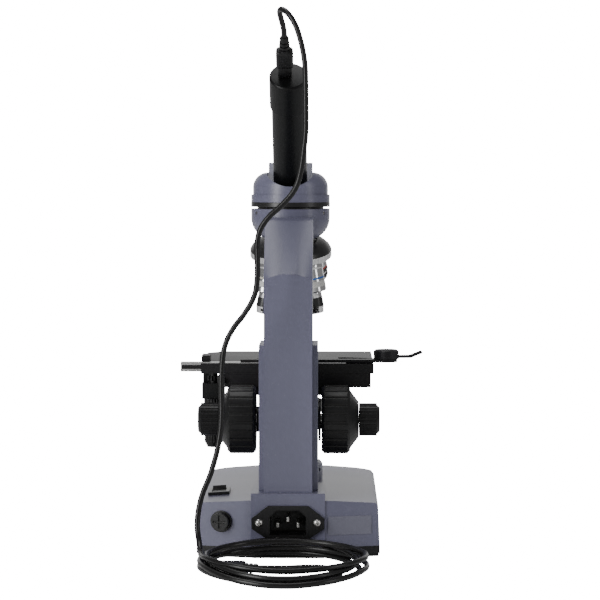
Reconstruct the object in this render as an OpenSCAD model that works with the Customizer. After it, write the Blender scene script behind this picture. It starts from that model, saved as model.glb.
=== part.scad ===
// School microscope with an inclined head, a camera eyepiece, a four-place nosepiece and a
// mechanical stage. X runs left to right, the power inlet faces -Y, and Z points up.
// The origin is the centre of the base's underside.

/* [Base] */
// Width of the base
base_w = 127; // [110:1:160]
// Length of the base from the inlet side to the front
base_d = 190; // [180:1:240]
// Height of the base along its sides
base_side_h = 37.5; // [34:0.5:42]
// Height of the flat crown of the base
base_crown_h = 40; // [38:0.5:48]
// Height of the black bottom tray
tray_h = 7.5; // [7:0.5:12]
// Wall of the base casting
wall = 3; // [2:0.5:4]
// Width of the raised block under the column
foot_w = 51; // [51:1:60]
// Height of the raised block under the column
foot_h = 45; // [43:0.5:50]

/* [Arm] */
// Width of the column
column_w = 33.5; // [30:0.5:40]
// Depth of the column
column_d = 48; // [46:1:60]
// Height where the column bends forward
bend_z = 192; // [185:1:240]
// Height of the beam's top
beam_z = 233; // [228:1:270]
// Height of the bowl's top
bowl_z = 238.6; // [236:0.2:280]
// Radius of the bowl
bowl_r = 28.65; // [27:0.05:34]
// Distance of the optical axis in front of the base's centre
axis_y = 15; // [12:1:20]

/* [Focus] */
// Width of the focus housing
housing_w = 41; // [38:0.5:48]
// Height of the focus housing's top
housing_top = 146; // [142:1:160]
// Height of the focus shafts
shaft_z = 92; // [88:1:100]
// Radius of the coarse focus knobs
coarse_r = 24; // [18:0.5:28]
// Radius of the fine focus knobs
fine_r = 11.5; // [8:0.5:14]
// Radius of the coarse shaft
coarse_shaft_r = 4; // [3.5:0.1:5]
// Radius of the fine shaft
fine_shaft_r = 2; // [1.2:0.1:2.4]

/* [Stage] */
// Width of the upper stage plate
stage_w = 123.3; // [112:0.1:150]
// Depth of the stage
stage_d = 113; // [104:1:140]
// Height of the stage surface in mid focus
stage_top = 129; // [127:0.5:132]
// Thickness of the upper stage plate
upper_t = 7; // [6:0.5:9]
// Thickness of the lower stage plate
lower_t = 9.9; // [8:0.1:12]
// Radius of the condenser barrel
condenser_r = 18.5; // [16:0.5:19.5]

/* [Optics] */
// Tilt of the nosepiece
turret_tilt = 15; // [12:1:16]
// Turn of the nosepiece away from its click
turret_turn = 43; // [0:1:90]
// Radius of the nosepiece rim
turret_r = 30; // [30:0.5:34]
// Radius of the circle of objectives
seat_ring_r = 18.5; // [18:0.1:20]
// Length of the high power objectives below the nosepiece
objective_l = 36; // [30:0.5:36]
// Height of the nosepiece seat on the optical axis
seat_z = 195.9; // [194:0.1:215]

/* [Head and camera] */
// Radius of the camera tube
camera_r = 12.25; // [11.8:0.05:14]
// Radius of the camera's cap
camera_cap_r = 13.5; // [12.5:0.1:15]
// Length of the camera above the head
camera_l = 105.1; // [80:0.1:120]
// Length of the camera's cap
camera_cap_l = 28; // [20:1:36]
// Height of the black ring under the head
ring_z = 240; // [239.6:0.1:281]

/* [Power inlet] */
// Height of the inlet's centre
inlet_z = 25; // [24:0.5:27]
// Distance between the inlet's screws
inlet_pitch = 40; // [38:0.5:42]
// Radius of the fuse holder's body
fuse_body_r = 6; // [5:0.1:6.5]

/* [Cord] */
// Diameter of the camera's cord
cord_d = 4; // [3:0.1:4.4]
// Outer radius of the cord's coil
coil_r = 57.5; // [50:0.5:60]

/* [Hidden] */
$fn = 64;

// Clearances between moving bodies, and the running clearance of shafts
gap = 0.3;
run = 0.05;
eps = 0.01;

// Base
rear_y = -base_d / 2;
front_y = base_d / 2;
half_w = base_w / 2;
corner_r = 20;
rear_sweep = 10;
foot_d = 56;
tray_taper = 0.8;
floor_t = 4;
rear_angle = atan((rear_sweep - 1) / (half_w - foot_w / 2));
side_slope = atan((base_crown_h - base_side_h) / (half_w - foot_w / 2));
fuse_x = half_w - 17.5;
fuse_reach = 21;
fuse_end = 1 + (fuse_x - foot_w / 2) / (half_w - foot_w / 2) * (rear_sweep - 1)
    + (fuse_reach + 1) * cos(rear_angle);
screw_y = base_d / 2 - fuse_end - 6.2;
screw_spots = [for (x = [-1, 1]) for (y = [-1, 1]) [x * (half_w - 15), y * screw_y]];

// Arm
column_rear = rear_y + 5;
column_front = column_rear + column_d;
arm_wall = 4;
bowl_floor_z = bowl_z - 22.6;
socket_r = 24;
socket_z = bowl_z - 5.6;
light_r = 8;

// Focus drive
shaft_y = column_front - 13;
housing_front = column_front + 7;
housing_rear = column_rear + 11;
bush_r = 6;
collar_x = housing_w / 2 + 2;
coarse_x0 = collar_x + 0.5;
coarse_w = 20;
coarse_x1 = coarse_x0 + coarse_w;
fine_x0 = coarse_x1 + 6.3;
fine_w = 14.5;
tooth_m = 0.8;
pinion_teeth = 10;
pitch_r = tooth_m * pinion_teeth / 2;
rack_y = shaft_y + pitch_r;
guide_w = 20;
guide_t = 4;

// Travel of the sliding parts
lift_up = 29;
lift_down = 6;
stage_travel = 20;
condenser_drop = 12;

// Stage
stage_left = -stage_w / 2 - 1.65;
stage_right = stage_w / 2 - 1.65;
stage_rear = housing_front + 2;
plate_rear = housing_front + guide_t + 0.6;
upper_z = stage_top - upper_t;
lower_z = upper_z - run - lower_t;
carrier_z = lower_z - 6;
xy_x = stage_left + 8.3;
xy_y = stage_rear + 19;
xy_bore_r = 3;
xy_inner_r = 1.5;
xy_top = upper_z - 19.5;
y_grip_l = 17;
x_grip_l = 14;
lower_left = xy_x + pitch_r + 5;
rail_y0 = stage_rear + 4;
rail_y1 = xy_y - pitch_r;
rail_h = 6;
holder_z = stage_top + 0.9;
clip_x = stage_right + 9;
clip_y = stage_rear + 9;

// Condenser
condenser_top = stage_top - 1.2;
condenser_nose_r = 9.8;
ring_top = carrier_z - 4;
condenser_z = ring_top - 16;
cross_y = housing_front + 8.4;
cross_z = ring_top - 16;
cross_r = 1.5;
small_teeth = 10;
small_m = 0.5;
small_pitch_r = small_m * small_teeth / 2;

// Nosepiece
turret_y = axis_y + seat_ring_r * cos(turret_tilt);
turret_z = seat_z + seat_ring_r * sin(turret_tilt);
turret_h = 12;
turret_cone = tan(turret_tilt);
rim_t = 1.6;
thread_r = 9.9;
pivot_r = 4;
mount_r = 19;

// Head
head_tilt = 45;
face_y = axis_y - 7.1;
face_z = ring_z + 18.1;
head_top = ring_z + 32;
dome_r = bowl_r - 1.25;
block_w = 32;

// Illuminator
lamp_collar_r = 23.5;
lamp_collar_h = 14;
lens_r = 18.8;

// Inlet
flange_w = 50;
flange_h = 23.3;
opening_w = 24.8;
opening_h = 17.2;
flange_t = 2.6;
inlet_depth = 24;
pin_l = 20;
pin_x = 7;
earth_dz = 4;

// Rocker switch and fuse holder
switch_w = 15;
switch_d = 23;
rocker_pin_r = 1;
rocker_pin_x = switch_w / 2 - 1.6;
switch_x = half_w - 14;
switch_y = rear_y + 51.5;
plate_x = half_w - 21;

// Plug on the camera
plug_x = -2.5;
plug_l = 24;
relief_l = 12;

// Route of the cord's centre, from the plug's strain relief down to the coil
cord_route = [[-2.5, -92, 358], [-2.6, -95.5, 361.5], [-3.2, -99, 365], [-4.2, -102.6, 368.6],
    [-5, -106.2, 371.9], [-5.1, -109.6, 374.1], [-4.2, -113.1, 375], [-2.2, -116.7, 374.2],
    [0.6, -119.9, 371.8], [3.4, -122, 368], [6, -123, 363], [8.4, -123.2, 356], [10.6, -123.1, 347],
    [12, -123, 337], [12.4, -122.5, 326], [12.5, -122, 314], [12.6, -121.5, 301], [12.3, -121.5, 290.8],
    [11.1, -121.5, 280.3], [9, -121.5, 266], [5.3, -121.5, 254.5], [-2.7, -121.5, 244.5],
    [-13.8, -121.5, 234], [-19.3, -121.5, 223.6], [-20, -121.5, 208], [-20.2, -121.5, 194],
    [-22, -121.5, 183], [-29.2, -122, 170], [-36.5, -123, 160.5], [-42, -124, 148.5],
    [-44, -125, 132], [-44.2, -126, 118], [-44, -127, 104], [-45.5, -128.5, 86.4],
    [-51, -131.5, 64.5], [-57.5, -135.5, 47.7], [-60, -139, 30.3], [-58, -142, 19],
    [-54, -145, 11]];
cord_sides = 8;
coil_x = -2;
coil_y = rear_y - flange_t - coil_r - 0.3;
coil_inner_r = 34;
coil_h = 17;
usb_a_y = coil_y - 1.6;
usb_a_z = 4.2;

// Grey satin paint, black plastic and the metals
grey = [0.44, 0.44, 0.52];
black = [0.07, 0.07, 0.08];
steel = [0.75, 0.75, 0.77];
brass = [0.78, 0.62, 0.3];
glass = [0.75, 0.85, 0.9, 0.5];

// A cylinder along X from x0 to x1
module rod_x(r, x0, x1) {
    translate([x0, 0, 0]) rotate([0, 90, 0]) cylinder(r = r, h = x1 - x0);
}

// A box centred on X, from y0 to y1 and from z0 to z1
module slab(w, y0, y1, z0, z1) {
    translate([-w / 2, y0, z0]) cube([w, y1 - y0, z1 - z0]);
}

// A disc with shallow grip grooves round its edge
module grip(r, h, grooves, groove_r, depth) {
    difference() {
        cylinder(r = r, h = h);
        for (i = [0 : grooves - 1])
            rotate([0, 0, i * 360 / grooves])
                translate([r + groove_r - depth, 0, -1])
                    cylinder(r = groove_r, h = h + 2, $fn = 24);
    }
}

// Outline of a small gear with trapezoid teeth, with play in the mesh
module gear_2d(teeth, m) {
    r = teeth * m / 2;
    step = 360 / teeth;
    polygon([for (i = [0 : teeth - 1]) for (p = [[-0.30, -0.9], [-0.10, 0.55], [0.10, 0.55], [0.30, -0.9]])
        let (a = (i + p[0]) * step, q = r + p[1] * m) [q * cos(a), q * sin(a)]]);
}

// Teeth of a rack along X, whose pitch line is y = 0 and whose body lies below it
module rack_2d(length, back, m) {
    pitch = PI * m;
    n = floor(length / pitch / 2);
    union() {
        translate([-length / 2, -back]) square([length, back - 0.8 * m]);
        for (i = [-n : n - 1])
            polygon([[(i + 0.24) * pitch, -0.9 * m], [(i + 0.40) * pitch, 0.5 * m],
                [(i + 0.60) * pitch, 0.5 * m], [(i + 0.76) * pitch, -0.9 * m]]);
    }
}

// Outline of the base seen from above, drawn in by i all round
module base_plan(i) {
    hw = half_w - i;
    r = corner_r - i;
    fw = foot_w / 2 - i;
    union() {
        polygon([[-hw, rear_y + rear_sweep + i], [-fw, rear_y + 1 + i], [-fw, rear_y + i],
            [fw, rear_y + i], [fw, rear_y + 1 + i], [hw, rear_y + rear_sweep + i],
            [hw, front_y - i - r], [hw - r, front_y - i], [-hw + r, front_y - i],
            [-hw, front_y - i - r]]);
        for (s = [-1, 1]) translate([s * (hw - r), front_y - i - r]) circle(r = r);
    }
}

// Section of the base seen from behind: drafted sides and a low crown
module base_section(i, z0) {
    hw = half_w - i;
    fw = foot_w / 2;
    polygon([[-hw, z0], [-hw + 1.2, base_side_h - 2.2 - i], [-hw + 3.2, base_side_h - i],
        [-fw, base_crown_h - i], [fw, base_crown_h - i], [hw - 3.2, base_side_h - i],
        [hw - 1.2, base_side_h - 2.2 - i], [hw, z0]]);
}

module base_form(i, z0) {
    intersection() {
        translate([0, 0, z0]) linear_extrude(foot_h) base_plan(i);
        rotate([90, 0, 0]) translate([0, 0, -front_y - 1]) linear_extrude(base_d + 2)
            base_section(i, z0);
    }
}

// Places children on the sloping rear faces, with +Z pointing out of the base
module on_rear_face(side, x, z) {
    y = rear_y + 1 + (x - foot_w / 2) / (half_w - foot_w / 2) * (rear_sweep - 1);
    translate([side * x, y, z]) rotate([0, 0, side * rear_angle]) rotate([90, 0, 0]) children();
}

// Places children on the left of the base's top, with +Z square to the surface
module on_left_top(x, y) {
    z = base_crown_h - (x - foot_w / 2) * tan(side_slope);
    translate([-x, y, z]) rotate([0, -side_slope, 0]) children();
}

module base_housing() {
    color(grey) difference() {
        union() {
            difference() {
                union() {
                    base_form(0, tray_h);
                    slab(foot_w, rear_y, rear_y + foot_d, base_side_h - 5, foot_h);
                }
                base_form(wall, tray_h - eps);
            }
            intersection() {
                base_form(1, floor_t);
                for (p = screw_spots) translate([p[0], p[1], floor_t]) cylinder(r = 4.5, h = foot_h);
            }
        }
        for (p = screw_spots) translate([p[0], p[1], floor_t - 1]) cylinder(r = 1.75, h = 18);
        slab(opening_w + 3.2, rear_y - 1, rear_y + wall + 1, inlet_z - 10.2, inlet_z + 10.2);
        for (s = [-1, 1]) translate([s * inlet_pitch / 2, rear_y - 1, inlet_z])
            rotate([-90, 0, 0]) cylinder(r = 1.6, h = 12);
        on_rear_face(-1, fuse_x, inlet_z) translate([0, 0, -8]) cylinder(r = fuse_body_r + 0.1, h = 16);
        on_left_top(switch_x, switch_y) translate([0, 0, -4])
            cube([switch_w - 2, switch_d - 3, 16], center = true);
        translate([0, axis_y, base_crown_h - 8]) cylinder(r = lens_r - 1.8, h = 16);
        for (p = arm_bolt_spots()) translate([p[0], p[1], base_crown_h - 6]) cylinder(r = 2.6, h = 20);
    }
}

module base_tray() {
    color(black) difference() {
        union() {
            linear_extrude(2) base_plan(tray_taper);
            translate([0, 0, 2]) linear_extrude(tray_h - 2) base_plan(0);
        }
        translate([0, 0, floor_t]) linear_extrude(tray_h) base_plan(wall);
        for (p = screw_spots) translate([p[0], p[1], -1]) {
            cylinder(r = 1.9, h = 10);
            cylinder(r = 3.8, h = 3);
        }
        for (p = feet_spots()) translate([p[0], p[1], -1]) cylinder(r = 8, h = 2.5);
    }
}

function feet_spots() = [for (x = [-1, 1]) for (y = [-1, 1])
    [x * (half_w - 17), y * (base_d / 2 - 50)]];

module base_feet() {
    color(black) for (p = feet_spots()) translate([p[0], p[1], 0]) cylinder(r = 7.9, h = 1.5);
}

function arm_bolt_spots() = [for (x = [-1, 1]) for (y = [0, 1])
    [x * (column_w / 2 - 7), column_rear + 25 + y * (column_d - 35)]];

// The tray's four screws, and the four bolts that hold the arm on the base
module stand_screws() {
    color(steel) union() {
        for (p = screw_spots) translate([p[0], p[1], 0.6]) union() {
            cylinder(r = 3.5, h = 1.4);
            cylinder(r = 1.7, h = 15);
        }
        for (p = arm_bolt_spots()) translate([p[0], p[1], 0]) union() {
            translate([0, 0, base_crown_h - wall - 5.2]) cylinder(r = 4.2, h = 5.1);
            translate([0, 0, base_crown_h - wall - 1]) cylinder(r = 2.4, h = foot_h + 8 - base_crown_h + wall);
        }
    }
}

// Side view of the arm as [y, z] points, from the foot up the back and down the throat
arm_outline = [[column_rear, foot_h], [column_rear, bend_z], [column_rear + 2, bend_z + 3.6],
    [column_rear + 40, beam_z - 2.5], [column_rear + 45, beam_z], [axis_y, beam_z],
    [axis_y, bowl_floor_z + 1], [axis_y - 22, bowl_floor_z + 1], [column_front + 12, bowl_floor_z - 5],
    [column_front + 4, bowl_floor_z - 13], [column_front, bowl_floor_z - 26], [column_front, foot_h]];

module bowl() {
    r = 16;
    translate([0, axis_y, 0]) rotate_extrude() intersection() {
        union() {
            translate([0, bowl_floor_z]) square([bowl_r - r, 22.6]);
            translate([0, bowl_floor_z + r]) square([bowl_r, bowl_z - bowl_floor_z - r]);
            translate([bowl_r - r, bowl_floor_z + r]) circle(r = r);
        }
        translate([0, bowl_floor_z]) square([bowl_r + 1, bowl_z - bowl_floor_z]);
    }
}

module arm() {
    cavity_w = column_w - 2 * arm_wall;
    color(grey) difference() {
        union() {
            rotate([90, 0, 90]) translate([0, 0, -column_w / 2]) linear_extrude(column_w)
                polygon(arm_outline);
            bowl();
        }
        slab(cavity_w, column_rear + 5, column_front - 5, foot_h + 9.5, bend_z - 6);
        slab(guide_w / 2, column_front - 6, column_front + 1, shaft_z - 28, housing_top - 4);
        translate([0, shaft_y, shaft_z]) rod_x(bush_r + 0.05, -column_w, column_w);
        for (p = arm_bolt_spots()) translate([p[0], p[1], foot_h - 1]) cylinder(r = 2.5, h = 8.3);
        translate([0, axis_y, socket_z]) cylinder(r = socket_r + run, h = 20);
        translate([0, axis_y, bowl_floor_z - 1]) cylinder(r = light_r, h = 30);
        for (a = bowl_screw_angles) translate([0, axis_y, bowl_z - 2.8]) rotate([0, 0, a])
            rod_x(1.55, socket_r - 2, bowl_r + 2);
    }
}

bowl_screw_angles = [-31, -149, 90];

module focus_housing() {
    color(grey) difference() {
        slab(housing_w, housing_rear, housing_front, foot_h, housing_top);
        slab(column_w + 0.2, column_rear - 1, column_front + 0.1, foot_h - 1, housing_top + 1);
        slab(guide_w / 2, column_front, housing_front + 1, shaft_z - 28, housing_top - 4);
        translate([0, shaft_y, shaft_z]) rod_x(bush_r + 0.05, -housing_w, housing_w);
    }
}

// Brass bushes through the side walls: the left one is flanged, and the right one carries the
// tension ring
module shaft_bushes() {
    color(brass) translate([0, shaft_y, shaft_z]) for (s = [-1, 1]) difference() {
        union() {
            rotate([0, 0, s < 0 ? 180 : 0]) rod_x(bush_r, column_w / 2 - arm_wall, collar_x);
            if (s < 0) rod_x(9, -collar_x, -housing_w / 2);
        }
        rod_x(coarse_shaft_r + run, -housing_w, housing_w);
    }
}

module tension_ring() {
    color(black) translate([0, shaft_y, shaft_z]) difference() {
        rotate([0, 90, 0]) translate([0, 0, housing_w / 2 + gap])
            grip(15, collar_x - housing_w / 2 - gap, 12, 1.5, 0.8);
        rod_x(bush_r + run, 0, housing_w);
    }
}

module dovetail_guide() {
    color(steel) difference() {
        translate([0, 0, shaft_z - 32]) linear_extrude(housing_top - shaft_z + 30)
            polygon([[-guide_w / 2, housing_front], [-guide_w / 2 - 2, housing_front + guide_t],
                [guide_w / 2 + 2, housing_front + guide_t], [guide_w / 2, housing_front]]);
        slab(guide_w / 2, housing_front - 1, housing_front + guide_t + 1, shaft_z - 28, housing_top - 4);
    }
}

module coarse_knobs() {
    color(black) translate([0, shaft_y, shaft_z]) for (s = [-1, 1])
        rotate([0, 90 * s, 0]) difference() {
            union() {
                translate([0, 0, coarse_x0]) intersection() {
                    grip(coarse_r, coarse_w, 24, 1.3, 0.6);
                    rotate_extrude() polygon([[0, 0], [coarse_r - 2, 0], [coarse_r + 0.5, 2.5],
                        [coarse_r + 0.5, coarse_w - 2.5], [coarse_r - 2, coarse_w], [0, coarse_w]]);
                }
                translate([0, 0, coarse_x1]) cylinder(r1 = coarse_r - 3.5, r2 = fine_r + 1, h = 6);
            }
            cylinder(r = coarse_shaft_r, h = coarse_x1 + 10);
        }
}

module coarse_shaft() {
    color(steel) translate([0, shaft_y, shaft_z]) difference() {
        union() {
            rod_x(pitch_r - 0.9 * tooth_m, -6, 6);
            for (s = [-1, 1]) rotate([0, s * 90, 0]) translate([0, 0, 6])
                cylinder(r = coarse_shaft_r, h = coarse_x1 - 1);
            rotate([0, 90, 0]) rotate([0, 0, 90]) translate([0, 0, -4.5]) linear_extrude(9)
                gear_2d(pinion_teeth, tooth_m);
        }
        rod_x(fine_shaft_r + run, -coarse_x1 - 10, coarse_x1 + 10);
    }
}

module fine_knobs() {
    color(black) translate([0, shaft_y, shaft_z]) for (s = [-1, 1])
        rotate([0, 90 * s, 0]) difference() {
            union() {
                translate([0, 0, fine_x0]) grip(fine_r, fine_w - 2, 24, 0.8, 0.6);
                translate([0, 0, fine_x0 + fine_w - 2]) cylinder(r1 = fine_r - 1, r2 = fine_r - 3, h = 2);
            }
            cylinder(r = fine_shaft_r, h = fine_x0 + fine_w - 4);
        }
}

module fine_shaft() {
    color(steel) translate([0, shaft_y, shaft_z])
        rod_x(fine_shaft_r, -fine_x0 - fine_w + 4, fine_x0 + fine_w - 4);
}

module power_inlet() {
    cut = (flange_w - 27.5) / 2;
    color(black) difference() {
        union() {
            translate([0, rear_y, inlet_z]) rotate([90, 0, 0]) linear_extrude(flange_t)
                polygon([[-flange_w / 2, -4], [-flange_w / 2, 3], [-flange_w / 2 + cut, flange_h / 2],
                    [flange_w / 2 - cut, flange_h / 2], [flange_w / 2, 3], [flange_w / 2, -4],
                    [flange_w / 2 - cut, -flange_h / 2], [-flange_w / 2 + cut, -flange_h / 2]]);
            slab(opening_w + 3, rear_y - 1, rear_y + inlet_depth, inlet_z - 10, inlet_z + 10);
        }
        translate([0, rear_y + inlet_depth - 4, inlet_z]) rotate([90, 0, 0]) linear_extrude(40)
            polygon([[-opening_w / 2, -opening_h / 2], [-opening_w / 2, opening_h / 2 - 4.5],
                [-opening_w / 2 + 4.5, opening_h / 2], [opening_w / 2 - 4.5, opening_h / 2],
                [opening_w / 2, opening_h / 2 - 4.5], [opening_w / 2, -opening_h / 2]]);
        for (s = [-1, 1]) translate([s * inlet_pitch / 2, rear_y + 1, inlet_z])
            rotate([90, 0, 0]) cylinder(r = 1.6, h = 9);
        for (p = pin_spots()) translate([p[0] - 1.05, rear_y + inlet_depth - 5, p[1] - 2.05])
            cube([2.1, 10, 4.1]);
    }
}

function pin_spots() = [[-pin_x, inlet_z - 2], [pin_x, inlet_z - 2], [0, inlet_z - 2 + earth_dz]];

module inlet_pins() {
    color(steel) for (p = pin_spots())
        translate([p[0] - 1, rear_y + inlet_depth - 4 - pin_l, p[1] - 2])
            cube([2, pin_l + 7, 4]);
}

// One domed screw with a cross slot, its head's underside at z = 0
module domed_screw() {
    difference() {
        union() {
            intersection() {
                translate([0, 0, -1.2]) sphere(r = 3);
                cylinder(r = 2.8, h = 3);
            }
            translate([0, 0, -9]) cylinder(r = 1.5, h = 9.5);
        }
        for (a = [0, 90]) rotate([0, 0, a]) translate([-1.7, -0.35, 1]) cube([3.4, 0.7, 3]);
    }
}

// The inlet's two screws, and the three set screws that hold the head in the bowl
module small_screws() {
    color(steel) union() {
        for (s = [-1, 1]) translate([s * inlet_pitch / 2, rear_y - flange_t, inlet_z])
            rotate([90, 0, 0]) domed_screw();
        for (a = bowl_screw_angles) translate([0, axis_y, bowl_z - 2.8]) rotate([0, 0, a])
            difference() {
                rod_x(1.5, socket_r + gap, bowl_r - 0.5);
                rod_x(0.7, bowl_r - 2, bowl_r + 1);
            }
    }
}

module fuse_holder() {
    color(black) on_rear_face(-1, fuse_x, inlet_z) difference() {
        union() {
            cylinder(r = 7.5, h = 2);
            translate([0, 0, -fuse_reach - 1]) cylinder(r = fuse_body_r, h = fuse_reach + 2);
        }
        translate([0, 0, -19]) cylinder(r = fuse_body_r - 1, h = 30);
    }
}

module fuse() {
    color(glass) on_rear_face(-1, fuse_x, inlet_z) translate([0, 0, -17.5]) cylinder(r = 2.5, h = 15);
}

module fuse_cap() {
    color(black) on_rear_face(-1, fuse_x, inlet_z) difference() {
        union() {
            translate([0, 0, 2.1]) cylinder(r = 6.3, h = 3.4);
            translate([0, 0, -2]) cylinder(r = fuse_body_r - 1.1, h = 5);
        }
        for (a = [0, 90]) rotate([0, 0, a]) translate([-4.5, -0.6, 4.4]) cube([9, 1.2, 2]);
    }
}

module rating_plate() {
    color([0.55, 0.55, 0.6]) on_rear_face(1, plate_x, inlet_z)
        translate([-15.5, -9, 0]) cube([31, 13, 0.5]);
}

module switch_frame() {
    color(black) on_left_top(switch_x, switch_y) difference() {
        union() {
            translate([-switch_w / 2, -switch_d / 2, 0]) cube([switch_w, switch_d, 2]);
            translate([-switch_w / 2 + 1.2, -switch_d / 2 + 1.7, -11])
                cube([switch_w - 2.4, switch_d - 3.4, 12]);
        }
        translate([-switch_w / 2 + 2.5, -switch_d / 2 + 3, -8])
            cube([switch_w - 5, switch_d - 6, 12]);
        rod_x(rocker_pin_r + run, -rocker_pin_x, rocker_pin_x);
    }
}

module switch_rocker() {
    w = switch_w - 5.6;
    d = switch_d - 9;
    color(black) on_left_top(switch_x, switch_y) union() {
        rotate([0, 90, 0]) translate([0, 0, -w / 2]) linear_extrude(w)
            polygon([[1.5, -d / 2], [-0.6, -d / 2], [-1.6, 0], [-4.2, d / 2], [2, d / 2],
                [6, 2.5], [6, -2.5]]);
        rod_x(rocker_pin_r, 0.1 - rocker_pin_x, rocker_pin_x - 0.1);
    }
}

module lamp_collar() {
    color(black) translate([0, axis_y, base_crown_h]) difference() {
        union() {
            cylinder(r = lamp_collar_r, h = lamp_collar_h - 2);
            translate([0, 0, lamp_collar_h - 2]) cylinder(r1 = lamp_collar_r, r2 = lamp_collar_r - 1.5, h = 2);
            translate([0, 0, -6]) cylinder(r = lens_r - 1.9, h = 7);
        }
        translate([0, 0, -7]) cylinder(r = lens_r - 4, h = lamp_collar_h);
        translate([0, 0, lamp_collar_h - 7]) cylinder(r = lens_r + 0.05, h = 10);
        translate([0, 0, lamp_collar_h - 5.5]) rotate([0, 0, -24])
            rod_x(1.3, lens_r - 1, lamp_collar_r + 1);
    }
}

module collector_lens() {
    color(glass) translate([0, axis_y, base_crown_h + lamp_collar_h - 6.9]) intersection() {
        cylinder(r = lens_r, h = 6.2);
        translate([0, 0, 6.2 - 36]) sphere(r = 36, $fn = 96);
    }
}

module lamp() {
    color(glass) translate([0, axis_y, 0]) union() {
        translate([0, 0, 20.5]) cylinder(r = 5, h = 6);
        translate([0, 0, 26.5]) sphere(r = 5);
        translate([0, 0, 10.2]) cylinder(r = 3.5, h = 11);
    }
}

module power_board() {
    color([0.1, 0.35, 0.2]) union() {
        slab(60, -58, axis_y + 25, floor_t + 0.2, floor_t + 1.8);
        translate([0, axis_y, floor_t + 1]) cylinder(r = 9, h = 5);
        translate([-24, -50, floor_t + 1]) cube([20, 22, 14]);
        for (i = [0 : 2]) translate([6 + i * 9, -40, floor_t + 1]) cylinder(r = 3.2, h = 11);
    }
}

// Places children in the nosepiece's own frame: origin on the seat plane, +Z up its axis
module in_turret() {
    translate([0, turret_y, turret_z]) rotate([turret_tilt, 0, 0]) children();
}

module nosepiece_mount() {
    color(black) difference() {
        intersection() {
            in_turret() translate([0, 0, turret_h + gap]) cylinder(r = mount_r, h = 30);
            slab(100, -50, 100, 150, bowl_floor_z);
        }
        translate([0, axis_y, bowl_floor_z - 20]) cylinder(r = light_r, h = 30);
        in_turret() translate([0, 0, turret_h - 1]) cylinder(r = pivot_r, h = 2.8);
    }
}

module nosepiece_pivot() {
    tip = -seat_ring_r * turret_cone;
    color(steel) in_turret() union() {
        translate([0, 0, tip - 1.2]) cylinder(r = 5.6, h = 1.1);
        translate([0, 0, tip - 0.2]) cylinder(r = pivot_r, h = turret_h + 1.9 - tip);
    }
}

// Places children on the seat of one objective, with -Z pointing down the objective
module on_seat(i) {
    in_turret() rotate([0, 0, turret_turn + 90 * i]) translate([0, -seat_ring_r, 0])
        rotate([-turret_tilt, 0, 0]) children();
}

module nosepiece() {
    color(black) difference() {
        in_turret() rotate_extrude() polygon([[0, run - seat_ring_r * turret_cone],
            [turret_r - rim_t, run + (turret_r - rim_t - seat_ring_r) * turret_cone],
            [turret_r - rim_t, 8], [turret_r, 8.4], [turret_r - 1.4, 11], [turret_r - 5, 14.2],
            [mount_r + 2, 15.6], [mount_r + 0.5, 15.6], [mount_r + 0.5, turret_h], [0, turret_h]]);
        in_turret() translate([0, 0, -20]) cylinder(r = pivot_r + run, h = turret_h + 22);
        for (i = [0 : 3]) on_seat(i) {
            translate([0, 0, -8]) cylinder(r = thread_r + 0.05, h = 12.8);
            cylinder(r = 4, h = turret_h + 8);
        }
    }
}

module nosepiece_rim() {
    color(steel) in_turret() difference() {
        translate([0, 0, 3.4]) grip(turret_r, 4.5, 60, 0.6, 0.35);
        translate([0, 0, -1]) cylinder(r = turret_r - rim_t, h = 12);
    }
}

// One objective: a threaded neck, a shoulder, a barrel and a banded nose around a glass front
module objective(i, length, barrel_r, nose_r, bore_r) {
    nose_l = length > 25 ? 16 : 6;
    barrel_l = length - nose_l - 3;
    on_seat(i) difference() {
        rotate_extrude() polygon([[0, 4.5], [thread_r, 4.5], [thread_r, 0], [barrel_r + 0.6, 0],
            [barrel_r + 0.6, -3], [barrel_r, -3], [barrel_r, -3 - barrel_l],
            [nose_r + 1, -4 - barrel_l], [nose_r + 0.6, -length + 3.5], [nose_r, -length], [0, -length]]);
        translate([0, 0, -length - 1]) cylinder(r1 = bore_r + 1.2, r2 = bore_r, h = 2);
        translate([0, 0, -length + 3]) cylinder(r = bore_r + 2, h = length + 4);
    }
}

module objective_4x() { color(steel) objective(1, 20, 11.4, 9.8, 5); }
module objective_10x() { color(steel) objective(2, objective_l - 4, 10.6, 7, 3.4); }
module objective_40x() { color(steel) objective(0, objective_l, 10.4, 5.4, 1.6); }
module objective_100x() { color(steel) objective(3, objective_l + 0.5, 10.4, 5, 1.2); }

// Places children on the camera tube's axis, with +Z up the tube
module on_tube() {
    translate([0, face_y, face_z]) rotate([head_tilt, 0, 0]) children();
}

module head_housing() {
    z0 = ring_z + 3.5;
    r = 11;
    color(grey) difference() {
        union() {
            translate([0, axis_y, z0]) cylinder(r = bowl_r, h = 5.3);
            difference() {
                translate([0, axis_y, 0]) rotate_extrude() intersection() {
                    union() {
                        translate([0, z0]) square([dome_r - r, 21.5]);
                        translate([0, z0]) square([dome_r, 21.5 - r]);
                        translate([dome_r - r, z0 + 21.5 - r]) circle(r = r);
                    }
                    translate([0, z0]) square([dome_r, 21.5]);
                }
                on_tube() face_cut();
            }
            difference() {
                slab(block_w, face_y - 20, axis_y + 20, z0, head_top);
                on_tube() translate([-40, -60, 0]) cube([80, 120, 60]);
                translate([0, axis_y + 20, head_top]) rotate([45, 0, 0]) cube([80, 12, 12], center = true);
            }
        }
        on_tube() translate([0, 0, -17]) cylinder(r = 12, h = 30);
        translate([0, axis_y, z0 - 1]) cylinder(r = 9.5, h = 20);
    }
}

// The flat face and its rounded lower end, cut into the dome
module face_cut() {
    r = block_w / 2 + 0.6;
    linear_extrude(60) union() {
        circle(r = r);
        translate([-r, 0]) square([2 * r, 60]);
    }
}

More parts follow.
